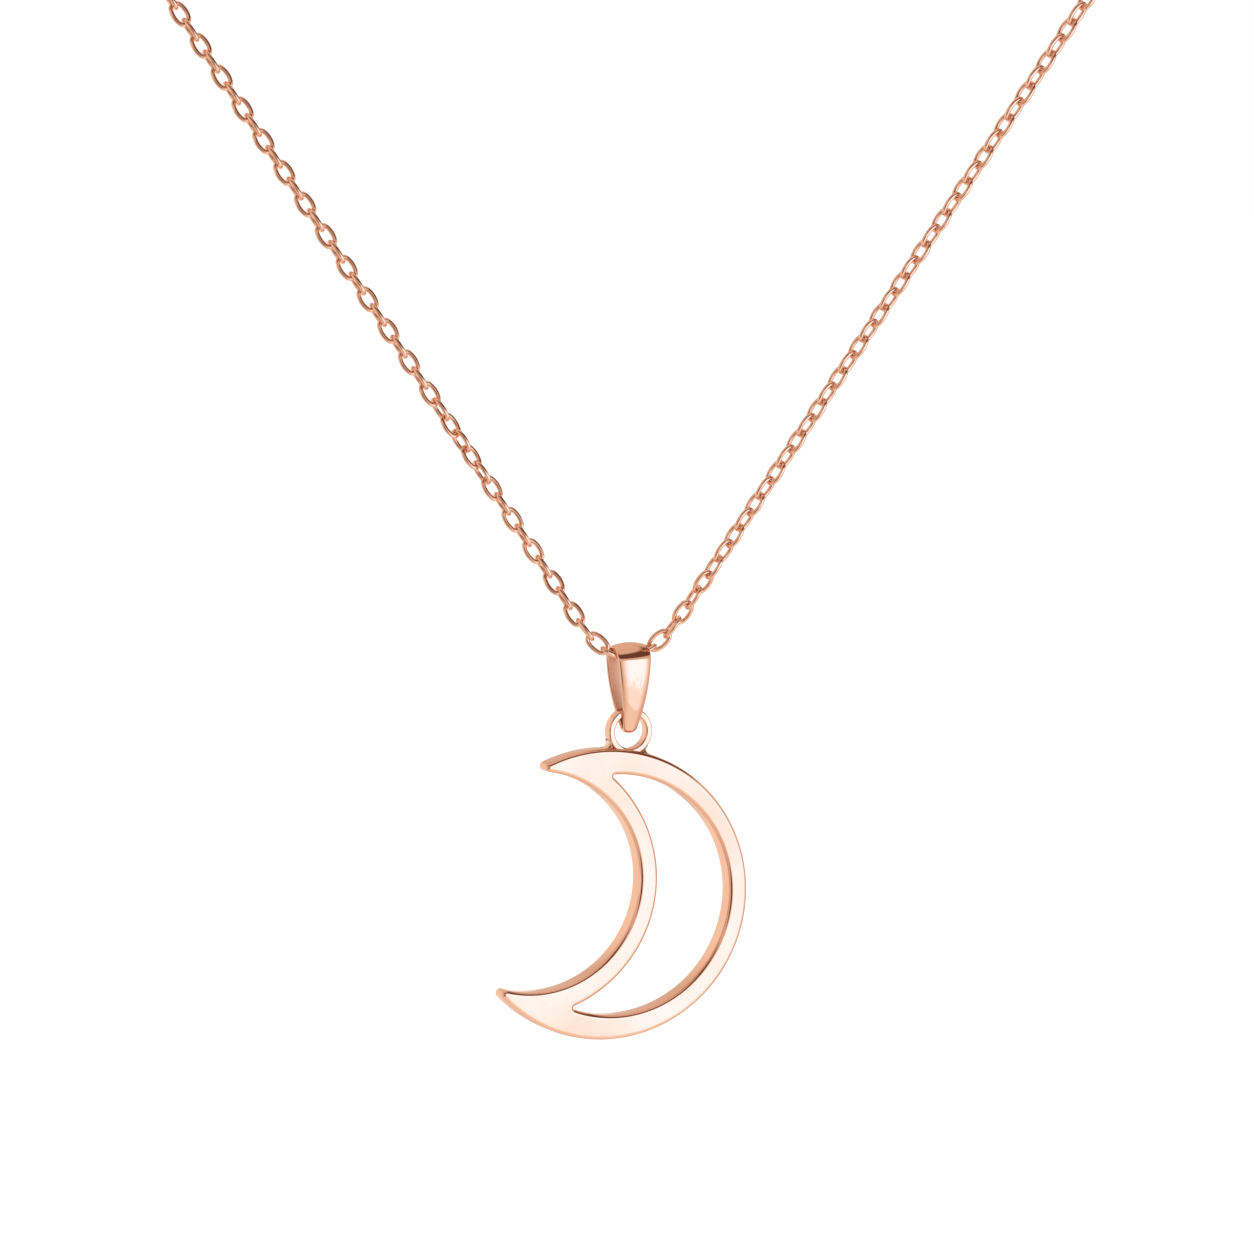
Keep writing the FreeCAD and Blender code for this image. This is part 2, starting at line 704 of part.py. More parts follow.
end_ring = add("Part::Torus", "end_ring", Radius1="sizes.end_ring_radius",
               Radius2="sizes.end_ring_wire / 2")
end_ring.Placement = FreeCAD.Placement(
    V(clasp_shift + left_wire + size("end_ring_radius"), 0, 0), turned(Z_AXIS, 0))
NODES.append(end_ring)
jump_ring = add("Part::Torus", "clasp_jump_ring", Radius1="sizes.jump_ring_radius",
                Radius2="sizes.jump_ring_wire / 2")
jump_ring.Placement = FreeCAD.Placement(
    V(clasp_shift + right_wire - size("jump_ring_radius"), 0, 0), turned(Z_AXIS, 0))
NODES.append(jump_ring)


# ---------------------------------------------------------------- check and export
doc.recompute()
for item in doc.Objects:
    if "Invalid" in item.State or "Error" in item.State:
        raise RuntimeError("%s did not build: %s" % (item.Name, item.State))
for node in NODES:
    if node.Shape.isNull() or not node.Shape.isValid():
        raise RuntimeError("%s has no valid shape" % node.Label)
    node.Shape.exportStep("parts/%s.step" % node.Label)
    print(node.Label, len(node.Shape.Solids), round(node.Shape.Volume, 4))
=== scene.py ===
import math

import bmesh
import bpy
import numpy as np
from mathutils import Matrix, Vector


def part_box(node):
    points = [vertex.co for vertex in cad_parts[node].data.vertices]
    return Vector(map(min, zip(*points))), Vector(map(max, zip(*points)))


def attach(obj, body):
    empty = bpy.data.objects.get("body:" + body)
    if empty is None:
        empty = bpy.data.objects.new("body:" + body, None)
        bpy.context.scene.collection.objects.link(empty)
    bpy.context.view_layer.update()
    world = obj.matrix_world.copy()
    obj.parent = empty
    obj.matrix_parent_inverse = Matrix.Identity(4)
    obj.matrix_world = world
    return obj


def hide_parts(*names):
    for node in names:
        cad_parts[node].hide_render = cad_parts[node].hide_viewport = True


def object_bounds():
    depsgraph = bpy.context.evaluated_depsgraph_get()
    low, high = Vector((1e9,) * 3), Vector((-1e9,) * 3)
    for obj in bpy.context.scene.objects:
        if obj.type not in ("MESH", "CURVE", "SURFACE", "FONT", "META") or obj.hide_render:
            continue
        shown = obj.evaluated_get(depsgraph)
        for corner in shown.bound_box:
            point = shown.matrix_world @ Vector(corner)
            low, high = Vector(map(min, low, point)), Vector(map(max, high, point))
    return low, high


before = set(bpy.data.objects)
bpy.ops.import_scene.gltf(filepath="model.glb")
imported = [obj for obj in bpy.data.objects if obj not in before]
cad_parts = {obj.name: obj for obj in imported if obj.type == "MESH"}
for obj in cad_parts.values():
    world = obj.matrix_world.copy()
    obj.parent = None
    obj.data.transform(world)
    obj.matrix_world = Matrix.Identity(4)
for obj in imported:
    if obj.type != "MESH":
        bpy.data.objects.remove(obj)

bl_info = {
    "name": "Moon pendant necklace",
    "version": (1, 0, 0),
    "blender": (4, 5, 0),
    "location": "3D View > Sidebar > Necklace",
    "description": "Finishes the pieces of a moon pendant necklace and sets up its studio",
    "category": "Object",
}

CAD_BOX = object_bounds()
MM = 0.001
CHAIN_NODES = sorted(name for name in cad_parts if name.startswith("chain_")) + ["centre_link"]


# ------------------------------------------------------------------ settings
class MetalSettings(bpy.types.PropertyGroup):
    gold: bpy.props.FloatVectorProperty(
        name="Rose gold", description="Colour of the polished rose gold",
        default=(0.90, 0.575, 0.42), subtype="COLOR", min=0.0, max=1.0)
    deep_gold: bpy.props.FloatVectorProperty(
        name="Deep rose gold", description="Redder gold in less worn places",
        default=(0.84, 0.49, 0.335), subtype="COLOR", min=0.0, max=1.0)
    # Paler gold that is painted light: it lightens the shaded inside of the bail and the dark
    # concave solder fillets. Their matt finish comes from the roughness, not from this colour.
    painted_light_gold: bpy.props.FloatVectorProperty(
        name="Painted light gold", description="Paler rose gold, painted light for the bail's inside and the solder",
        default=(0.99, 0.79, 0.67), subtype="COLOR", min=0.0, max=1.0)
    steel: bpy.props.FloatVectorProperty(
        name="Spring steel", description="Colour of the clasp's spring and pin",
        default=(0.60, 0.58, 0.56), subtype="COLOR", min=0.0, max=1.0)
    polish: bpy.props.FloatProperty(
        name="Pendant roughness", description="Roughness of the mirror-polished pendant",
        default=0.07, subtype="FACTOR", min=0.0, max=1.0)
    chain_polish: bpy.props.FloatProperty(
        name="Chain roughness", description="Roughness of the drawn and tumbled chain wire",
        default=0.13, subtype="FACTOR", min=0.0, max=1.0)


class PendantSettings(bpy.types.PropertyGroup):
    turn: bpy.props.FloatProperty(
        name="Pendant turn", description="How far the pendant is turned on the chain",
        default=math.radians(25.0), subtype="ANGLE")
    moon_thickness: bpy.props.FloatProperty(
        name="Moon thickness", description="Depth of the crescent bar",
        default=1.83 * MM, unit="LENGTH")
    moon_edge: bpy.props.FloatProperty(
        name="Moon edge", description="Radius of the crescent's rounded edges",
        default=0.35 * MM, unit="LENGTH")
    moon_tip: bpy.props.FloatProperty(
        name="Moon tip", description="Radius of the crescent's two tips",
        default=0.4 * MM, unit="LENGTH")
    window_tip: bpy.props.FloatProperty(
        name="Window tip", description="Radius of the window's two corners",
        default=0.15 * MM, unit="LENGTH")
    eye_drop: bpy.props.FloatProperty(
        name="Eye drop", description="From the bail's top down to the eye ring's centre",
        default=7.48 * MM, unit="LENGTH")
    eye_outer: bpy.props.FloatProperty(
        name="Eye outer radius", description="Outer radius of the eye ring",
        default=2.0 * MM, unit="LENGTH")
    eye_hole: bpy.props.FloatProperty(
        name="Eye hole radius", description="Radius of the eye ring's hole",
        default=1.43 * MM, unit="LENGTH")
    eye_depth: bpy.props.FloatProperty(
        name="Eye depth", description="Depth of the eye ring's band",
        default=1.05 * MM, unit="LENGTH")
    eye_edge: bpy.props.FloatProperty(
        name="Eye edge", description="Radius of the eye ring's rounded edges",
        default=0.17 * MM, unit="LENGTH")
    bail_strip: bpy.props.FloatProperty(
        name="Bail strip", description="Thickness of the bail's strip",
        default=0.4 * MM, unit="LENGTH")
    bail_top_radius: bpy.props.FloatProperty(
        name="Bail top radius", description="Radius of the bail's upper bend",
        default=1.6 * MM, unit="LENGTH")
    bail_foot_radius: bpy.props.FloatProperty(
        name="Bail foot radius", description="Radius of the bail's lower bend",
        default=0.62 * MM, unit="LENGTH")
    bail_side_radius: bpy.props.FloatProperty(
        name="Bail side radius", description="Radius of the bail's two bowed sides",
        default=11.0 * MM, unit="LENGTH")
    bail_height: bpy.props.FloatProperty(
        name="Bail height", description="Height of the bail's loop",
        default=7.65 * MM, unit="LENGTH")
    bail_top_width: bpy.props.FloatProperty(
        name="Bail top width", description="Width of the strip at the upper bend",
        default=3.2 * MM, unit="LENGTH")
    bail_mid_width: bpy.props.FloatProperty(
        name="Bail middle width", description="Width of the strip a little below half height",
        default=2.3 * MM, unit="LENGTH")
    bail_foot_width: bpy.props.FloatProperty(
        name="Bail foot width", description="Width of the strip at the lower bend",
        default=1.1 * MM, unit="LENGTH")
    bail_crown: bpy.props.FloatProperty(
        name="Bail crown", description="How far the strip's outer face is domed at its widest",
        default=0.28 * MM, unit="LENGTH")


# Ovals that bound the crescent and its window: centre across and up from the bail's top,
# then half length and half width, in millimetres. All lean the same way.
OVAL_LEAN = math.radians(-15.0)
OUTER_OVAL = (-2.35, -21.04, 13.01, 12.25)
COVE_OVAL = (-9.03, -19.56, 9.77, 9.26)
WINDOW_OVAL = (-1.6, -21.13, 10.64, 10.13)
WAIST_OVAL = (-10.51, -19.31, 12.93, 11.66)


class StudioSettings(bpy.types.PropertyGroup):
    camera_distance: bpy.props.FloatProperty(
        name="Camera distance", description="From the camera to the pendant",
        default=0.8, unit="LENGTH")
    frame_width: bpy.props.FloatProperty(
        name="Frame width", description="Width of the view at the pendant",
        default=0.1045, unit="LENGTH")
    camera_height: bpy.props.FloatProperty(
        name="Camera elevation", description="Angle of the camera above the horizon",
        default=math.radians(7.5), subtype="ANGLE")
    aim_above: bpy.props.FloatProperty(
        name="Aim above bail", description="How far above the bail's top the camera looks",
        default=1.27 * MM, unit="LENGTH")
    floor_drop: bpy.props.FloatProperty(
        name="Floor drop", description="From the pendant's lowest point down to the floor",
        default=0.3, unit="LENGTH")
    tent_radius: bpy.props.FloatProperty(
        name="Tent radius", description="Radius of the light tent round the pendant",
        default=0.3, unit="LENGTH")
    lamp_power: bpy.props.FloatProperty(
        name="Overhead lamp", description="Power of the soft lamp above",
        default=12.0, min=0.0)


def place_of_pendant(shape):
    """From the pendant's own axes to the frame: its origin is the top of the bail."""
    low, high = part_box("bail")
    top = Vector(((low.x + high.x) / 2, (low.y + high.y) / 2, high.z))
    return Matrix.Translation(top) @ Matrix.Rotation(shape.turn, 4, "Z")


# ------------------------------------------------------------------ mesh helpers
def put(name, data):
    """A new object in the scene with this mesh, lamp or camera."""
    item = bpy.data.objects.new(name, data)
    bpy.context.scene.collection.objects.link(item)
    return item


def new_piece(name, points, faces, place, material):
    mesh = bpy.data.meshes.new(name)
    mesh.from_pydata([tuple(point) for point in points], [], faces)
    mesh.polygons.foreach_set("use_smooth", [True] * len(mesh.polygons))
    mesh.transform(place)
    mesh.materials.append(material)
    return put(name, mesh)


def tube_faces(rings, size):
    """Quads of a closed tube: rings of equal size, the last joined to the first."""
    faces = []
    for ring in range(rings):
        after = (ring + 1) % rings
        for spot in range(size):
            right = (spot + 1) % size
            faces.append((ring * size + spot, ring * size + right,
                          after * size + right, after * size + spot))
    return faces


def rounded_section(half_wide, half_high, radius, steps=8):
    """Points of a rounded rectangle, anticlockwise from its lower right corner."""
    points = []
    for corner in range(4):
        sx = 1 if corner in (0, 1) else -1
        sz = 1 if corner in (1, 2) else -1
        for step in range(steps + 1):
            a = math.radians(-90 + 90 * corner + 90 * step / steps)
            points.append((sx * (half_wide - radius) + radius * math.cos(a),
                           sz * (half_high - radius) + radius * math.sin(a)))
    return points


class Oval:
    """An oval with the crescent's lean; off moves its line outwards."""

    def __init__(self, values):
        self.centre = np.array(values[:2]) * MM
        self.long, self.short = values[2] * MM, values[3] * MM
        c, s = math.cos(OVAL_LEAN), math.sin(OVAL_LEAN)
        self.lean = np.array([[c, -s], [s, c]])

    def normal(self, t):
        n = np.array([self.short * math.cos(t), self.long * math.sin(t)])
        return self.lean @ (n / np.linalg.norm(n))

    def point(self, t, off=0.0):
        p = self.lean @ np.array([self.long * math.cos(t), self.short * math.sin(t)])
        return self.centre + p + off * self.normal(t)


def meet(a, b, radius, t, s, step=1e-5, rounds=30):
    """Where a ball of this radius inside oval a and outside oval b touches both."""
    for _ in range(rounds):
        miss = a.point(t, -radius) - b.point(s, radius)
        slope = np.array([(a.point(t + step, -radius) - a.point(t, -radius)) / step,
                          (b.point(s, radius) - b.point(s + step, radius)) / step]).T
        change = np.linalg.solve(slope, miss)
        t, s = t - change[0], s - change[1]
    return t, s


def lune(a, b, radius, low, high, steps):
    """Closed line round what is inside oval a and outside oval b, with its normals.

    low and high are rough places (t on a, s on b) of the two corners; each corner is
    rounded with the radius.
    """
    t_low, s_low = meet(a, b, radius, *low)
    t_high, s_high = meet(a, b, radius, *high)
    points, normals = [], []
    tip_steps = steps // 14

    def arc(centre, start, end, count):
        first = math.atan2(start[1], start[0])
        sweep = (math.atan2(end[1], end[0]) - first) % (2 * math.pi)
        for step in range(1, count):
            angle = first + sweep * step / count
            way = np.array([math.cos(angle), math.sin(angle)])
            points.append(centre + radius * way)
            normals.append(way)

    for t in np.linspace(t_low, t_high, steps):
        points.append(a.point(t))
        normals.append(a.normal(t))
    arc(a.point(t_high, -radius), a.normal(t_high), -b.normal(s_high), tip_steps)
    for s in np.linspace(s_high, s_low, steps):
        points.append(b.point(s))
        normals.append(-b.normal(s))
    arc(a.point(t_low, -radius), -b.normal(s_low), a.normal(t_low), tip_steps)
    return np.array(points), np.array(normals)


# ------------------------------------------------------------------ node helpers
class Tree:
    """Short hand for building one node tree."""

    def __init__(self, tree):
        self.tree = tree

    def node(self, kind, **values):
        item = self.tree.nodes.new(kind)
        for name, value in values.items():
            setattr(item, name, value)
        return item

    def link(self, source, target):
        self.tree.links.new(source, target)

    def set(self, socket, value):
        if isinstance(value, bpy.types.NodeSocket):
            self.link(value, socket)
        else:
            socket.default_value = value

    def place(self):
        """Coordinates in the piece's own axes."""
        return self.node("ShaderNodeTexCoord").outputs["Object"]

    def maths(self, operation, a, b=0.0):
        item = self.node("ShaderNodeMath", operation=operation)
        self.set(item.inputs[0], a)
        self.set(item.inputs[1], b)
        return item.outputs[0]

    def mix(self, factor, a, b):
        item = self.node("ShaderNodeMix", data_type="RGBA")
        self.set(item.inputs["Factor"], factor)
        self.set(item.inputs[6], a)
        self.set(item.inputs[7], b)
        return item.outputs[2]

    def span(self, value, low, high, to_low=0.0, to_high=1.0):
        item = self.node("ShaderNodeMapRange", interpolation_type="SMOOTHSTEP")
        self.set(item.inputs["Value"], value)
        item.inputs["From Min"].default_value = low
        item.inputs["From Max"].default_value = high
        item.inputs["To Min"].default_value = to_low
        item.inputs["To Max"].default_value = to_high
        return item.outputs[0]

    def noise(self, vector, scale, detail=3.0, rough=0.55):
        item = self.node("ShaderNodeTexNoise")
        self.link(vector, item.inputs["Vector"])
        self.set(item.inputs["Scale"], scale)
        item.inputs["Detail"].default_value = detail
        item.inputs["Roughness"].default_value = rough
        return item.outputs["Fac"]

    def stretched(self, vector, scale, turn):
        item = self.node("ShaderNodeMapping")
        self.link(vector, item.inputs["Vector"])
        item.inputs["Scale"].default_value = scale
        item.inputs["Rotation"].default_value = turn
        return item.outputs[0]

    def group(self, group, values):
        """A node that uses a shared group with its own input values."""
        item = self.node("ShaderNodeGroup", node_tree=group)
        for name, value in values.items():
            item.inputs[name].default_value = value
        return item


def new_group(name, inputs, outputs):
    group = bpy.data.node_groups.new(name, "ShaderNodeTree")
    for label, kind, value in inputs:
        socket = group.interface.new_socket(label, in_out="INPUT", socket_type=kind)
        socket.default_value = value
    for label, kind in outputs:
        group.interface.new_socket(label, in_out="OUTPUT", socket_type=kind)
    tree = Tree(group)
    return group, tree, tree.node("NodeGroupInput"), tree.node("NodeGroupOutput")


# Stretch and turn of the two crossed sets of buffing lines, in the piece's own axes.
LINES_ALONG = ((5200.0, 700.0, 700.0), (0.3, 0.9, 0.4))
LINES_ACROSS = ((900.0, 900.0, 6200.0), (0.5, -0.4, 0.2))
HAIR_SPAN = (0.30, 0.42)
HAIR_SHARE = 0.7
WAVE_SCALE = 95.0
CLOUD_SCALE = 420.0
LEAST_ROUGHNESS = 0.03


def polish_marks():
    """Buffing lines, hair scratches and the slight unevenness that hand polishing leaves."""
    name = "polish marks"
    if name in bpy.data.node_groups:
        return bpy.data.node_groups[name]
    group, tree, given, out = new_group(
        name,
        [("Lines", "NodeSocketFloat", 0.5), ("Waviness", "NodeSocketFloat", 0.5),
         ("Base roughness", "NodeSocketFloat", 0.1), ("Spread", "NodeSocketFloat", 0.05)],
        [("Height", "NodeSocketFloat"), ("Roughness", "NodeSocketFloat")])
    place = tree.place()
    lines = tree.noise(tree.stretched(place, *LINES_ALONG), 1.0, 4.0)
    cross = tree.noise(tree.stretched(place, *LINES_ACROSS), 1.0, 4.0)
    hair = tree.span(tree.maths("MULTIPLY", lines, cross), *HAIR_SPAN)
    wave = tree.noise(place, WAVE_SCALE, 1.0, 0.4)
    cloud = tree.noise(place, CLOUD_SCALE, 3.0)
    fine = tree.maths("MULTIPLY", hair, given.outputs["Lines"])
    slow = tree.maths("MULTIPLY", wave, given.outputs["Waviness"])
    tree.link(tree.maths("ADD", fine, slow), out.inputs["Height"])
    swing = tree.maths("MULTIPLY", tree.maths("SUBTRACT", cloud, 0.5), given.outputs["Spread"])
    more = tree.maths("MULTIPLY", hair, tree.maths("MULTIPLY", given.outputs["Spread"], HAIR_SHARE))
    total = tree.maths("ADD", given.outputs["Base roughness"], tree.maths("ADD", swing, more))
    tree.link(tree.maths("MAXIMUM", total, LEAST_ROUGHNESS), out.inputs["Roughness"])
    return group


def gold_tone():
    """Gold that varies a little between its fresh and its deeper, redder tone."""
    name = "gold tone"
    if name in bpy.data.node_groups:
        return bpy.data.node_groups[name]
    group, tree, given, out = new_group(
        name,
        [("Bright", "NodeSocketColor", (0.87, 0.51, 0.385, 1.0)),
         ("Deep", "NodeSocketColor", (0.8, 0.43, 0.31, 1.0)),
         ("Amount", "NodeSocketFloat", 0.4), ("Scale", "NodeSocketFloat", 180.0)],
        [("Color", "NodeSocketColor")])
    patch = tree.span(tree.noise(tree.place(), given.outputs["Scale"], 4.0), 0.35, 0.7)
    mask = tree.maths("MULTIPLY", patch, given.outputs["Amount"])
    tree.link(tree.mix(mask, given.outputs["Bright"], given.outputs["Deep"]),
              out.inputs["Color"])
    return group


def colour(value):
    return (value[0], value[1], value[2], 1.0)


def new_material(name):
    """A material without nodes but its output: itself, its tree and the surface socket."""
    material = bpy.data.materials.new(name)
    material.use_nodes = True
    material.node_tree.nodes.clear()
    tree = Tree(material.node_tree)
    return material, tree, tree.node("ShaderNodeOutputMaterial").inputs["Surface"]


def metal(name, bright, deep, roughness, spread, lines, waviness, bump, tone, scale=180.0):
    """A polished metal with its own values for the shared marks and tone.

    bump is the height of the marks in metres; scale is that of the tone's patches.
    """
    material, tree, surface = new_material(name)
    shader = tree.node("ShaderNodeBsdfPrincipled")
    shader.inputs["Metallic"].default_value = 1.0
    tree.link(shader.outputs[0], surface)
    tint = tree.group(gold_tone(), {"Bright": colour(bright), "Deep": colour(deep),
                                    "Amount": tone, "Scale": scale})
    tree.link(tint.outputs["Color"], shader.inputs["Base Color"])
    marks = tree.group(polish_marks(), {"Lines": lines, "Waviness": waviness,
                                        "Base roughness": roughness, "Spread": spread})
    tree.link(marks.outputs["Roughness"], shader.inputs["Roughness"])
    dent = tree.node("ShaderNodeBump")
    dent.inputs["Strength"].default_value = 1.0
    dent.inputs["Distance"].default_value = bump
    tree.link(marks.outputs["Height"], dent.inputs["Height"])
    tree.link(dent.outputs["Normal"], shader.inputs["Normal"])
    return material


def finish_node(node, material):
    """Gives a carried-over piece its finish."""
    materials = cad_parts[node].data.materials
    materials.clear()
    materials.append(material)


# ------------------------------------------------------------------ pieces
class NECKLACE_OT_chain(bpy.types.Operator):
    """Finish the links of the chain and the two rings at its ends"""
    bl_idname = "necklace.chain"
    bl_label = "Chain"

    def execute(self, context):
        look = context.scene.necklace_metal
        wire = metal("chain_wire_gold", look.gold, look.deep_gold, look.chain_polish,
                     spread=0.08, lines=0.35, waviness=0.2, bump=0.000004, tone=0.25, scale=420.0)
        for node in CHAIN_NODES + ["end_ring", "clasp_jump_ring"]:
            finish_node(node, wire)
        return {"FINISHED"}


class NECKLACE_OT_bail(bpy.types.Operator):
    """Finish the tapered strip bail"""
    bl_idname = "necklace.bail"
    bl_label = "Bail"

    # quads across the strip's outer face, and round each half of an edge
    ACROSS = 14
    CORNER = 6
    # where the middle width lies, as a share of the height from the top
    MIDDLE = 0.55
    # radius of the strip's edges, as a share of its thickness
    EDGE = 0.44

    def execute(self, context):
        look = context.scene.necklace_metal
        shape = context.scene.necklace_pendant
        strip = metal("bail_gold", look.gold, look.deep_gold, look.polish,
                      spread=0.04, lines=0.1, waviness=0.6, bump=0.000006, tone=0.3)
        # the flat inside gets paler gold as painted light, lightening the shade between the bail's
        # two leaves; its higher roughness is the matt finish
        inner = metal("bail_inside_painted_light_gold", look.painted_light_gold, look.gold, 0.34,
                      spread=0.1, lines=0.5, waviness=0.3, bump=0.000004, tone=0.5)
        line = self.loop(shape)
        points = []
        for y, z, out_y, out_z in line:
            wide = self.width(shape, z)
            dome = shape.bail_crown * (wide / shape.bail_top_width) ** 0.5
            section = self.section(wide, shape.bail_strip, dome)
            points += [(x, y + h * out_y, z + h * out_z) for x, h in section]
        section_size = len(points) // len(line)
        piece = new_piece("bail_strip", points, tube_faces(len(line), section_size),
                          place_of_pendant(shape), strip)
        piece.data.materials.append(inner)
        # the one quad of each section between the ends of its two edges is the flat inside
        inside = self.ACROSS + 2 * self.CORNER
        for index, polygon in enumerate(piece.data.polygons):
            if index % section_size == inside:
                polygon.material_index = 1
        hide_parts("bail")
        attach(piece, "bail")
        return {"FINISHED"}

    @staticmethod
    def loop(shape, steps=48):
        """The strip's outer line: four tangent arcs, as (y, z, outward y, outward z)."""
        top_z = -shape.bail_top_radius
        foot_z = -shape.bail_height + shape.bail_foot_radius
        span = top_z - foot_z
        top_arm = shape.bail_side_radius - shape.bail_top_radius
        foot_arm = shape.bail_side_radius - shape.bail_foot_radius
        rise = (foot_arm ** 2 - top_arm ** 2 + span ** 2) / (2 * span)
        reach = math.sqrt(foot_arm ** 2 - rise ** 2)
        side_z = foot_z + rise
        up = math.atan2(top_z - side_z, reach)
        down = math.atan2(foot_z - side_z, reach)
        arcs = (
            ((-reach, side_z), shape.bail_side_radius, down, up),
            ((0.0, top_z), shape.bail_top_radius, up, math.pi - up),
            ((reach, side_z), shape.bail_side_radius, math.pi - up, math.pi - down),
            ((0.0, foot_z), shape.bail_foot_radius, math.pi - down, 2 * math.pi + down),
        )
        line = []
        for (cy, cz), radius, first, last in arcs:
            for step in range(steps):
                angle = first + (last - first) * step / steps
                y, z = math.cos(angle), math.sin(angle)
                line.append((cy + radius * y, cz + radius * z, y, z))
        return line

    @classmethod
    def width(cls, shape, z):
        """Strip width at a height: a smooth taper through its three given widths."""
        middle = cls.MIDDLE
        part = min(1.0, max(0.0, -z / shape.bail_height))
        top, mid, foot = shape.bail_top_width, shape.bail_mid_width, shape.bail_foot_width
        return (top * (part - middle) * (part - 1) / middle
                + mid * part * (part - 1) / (middle * (middle - 1))
                + foot * part * (part - middle) / (1 - middle))

    @classmethod
    def section(cls, wide, thick, dome):
        """Strip section as (x, height): domed outside, flat inside, rounded edges."""
        edge = cls.EDGE * thick
        half = wide / 2
        lean = math.atan(2 * dome * (half - edge) / half ** 2)
        rim = half - edge * (1 - math.sin(lean))
        outside = []
        for step in range(cls.ACROSS + 1):
            x = rim * (2 * step / cls.ACROSS - 1)
            outside.append((x, -dome * (x / half) ** 2))
        corners = []
        # height of the arc's centre, then its first and last angle
        outer_arc = (outside[-1][1] - edge * math.cos(lean), math.degrees(lean), 90)
        inner_arc = (-thick - dome / 2 + edge, 90, 180)
        for high, first, last in (outer_arc, inner_arc):
            for step in range(1, cls.CORNER + 1):
                a = math.radians(first + (last - first) * step / cls.CORNER)
                corners.append((half - edge + edge * math.sin(a), high + edge * math.cos(a)))
        mirrored = [(-x, h) for x, h in reversed(corners)]
        return outside + corners + mirrored


class NECKLACE_OT_moon(bpy.types.Operator):
    """Finish the open crescent moon"""
    bl_idname = "necklace.moon"
    bl_label = "Moon"

    OUTLINE_STEPS = 280
    # rough places of the low and the high corner on the two ovals, as angles; lune()
    # finds them exactly
    CRESCENT_CORNERS = ((4.14, 4.71 - 2 * math.pi), (2.24 + 2 * math.pi, 1.67))
    WINDOW_CORNERS = ((4.61, 5.37 - 2 * math.pi), (1.82 + 2 * math.pi, 1.05))

    def execute(self, context):
        look = context.scene.necklace_metal
        shape = context.scene.necklace_pendant
        cast = metal("moon_gold", look.gold, look.deep_gold, look.polish,
                     spread=0.04, lines=0.08, waviness=1.0, bump=0.00001, tone=0.5)
        crescent = lune(Oval(OUTER_OVAL), Oval(COVE_OVAL), shape.moon_tip,
                        *self.CRESCENT_CORNERS, self.OUTLINE_STEPS)
        window = lune(Oval(WINDOW_OVAL), Oval(WAIST_OVAL), shape.window_tip,
                      *self.WINDOW_CORNERS, self.OUTLINE_STEPS)
        profile = self.profile(shape.moon_thickness / 2, shape.moon_edge)
        work = bmesh.new()
        rims = []
        for (points, normals), inward in ((crescent, -1), (window, 1)):
            rings = []
            for inset, depth in profile:
                line = points + normals * inset * inward
                rings.append([work.verts.new((x, depth, z)) for x, z in line])
            for near, far in zip(rings[:-1], rings[1:]):
                for spot in range(len(near)):
                    back = spot - 1
                    work.faces.new((near[back], near[spot], far[spot], far[back]))
            rims.append((rings[0], rings[-1]))
        for face in (0, 1):
            edges = []
            for rim in rims:
                loop = rim[face]
                edges += [work.edges.get((loop[spot - 1], loop[spot]))
                          for spot in range(len(loop))]
            bmesh.ops.triangle_fill(work, use_beauty=True, edges=edges)
        bmesh.ops.recalc_face_normals(work, faces=work.faces)
        mesh = bpy.data.meshes.new("moon")
        work.to_mesh(mesh)
        work.free()
        mesh.polygons.foreach_set("use_smooth", [True] * len(mesh.polygons))
        mesh.transform(place_of_pendant(shape))
        mesh.materials.append(cast)
        piece = put("moon", mesh)
        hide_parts("moon_frame")
        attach(piece, "pendant")
        return {"FINISHED"}

    @staticmethod
    def profile(half, edge, steps=10, rim=1.08):
        """(inset, depth) from the front face round the edge to the back face.

        A first line just inside the rounded edge keeps the flat face's shading flat.
        """
        quarter = []
        for step in range(steps + 1):
            a = math.radians(90 * step / steps)
            quarter.append((edge * (1 - math.sin(a)), -half + edge * (1 - math.cos(a))))
        quarter.insert(0, (edge * rim, -half))
        return quarter + [(inset, -depth) for inset, depth in reversed(quarter)]


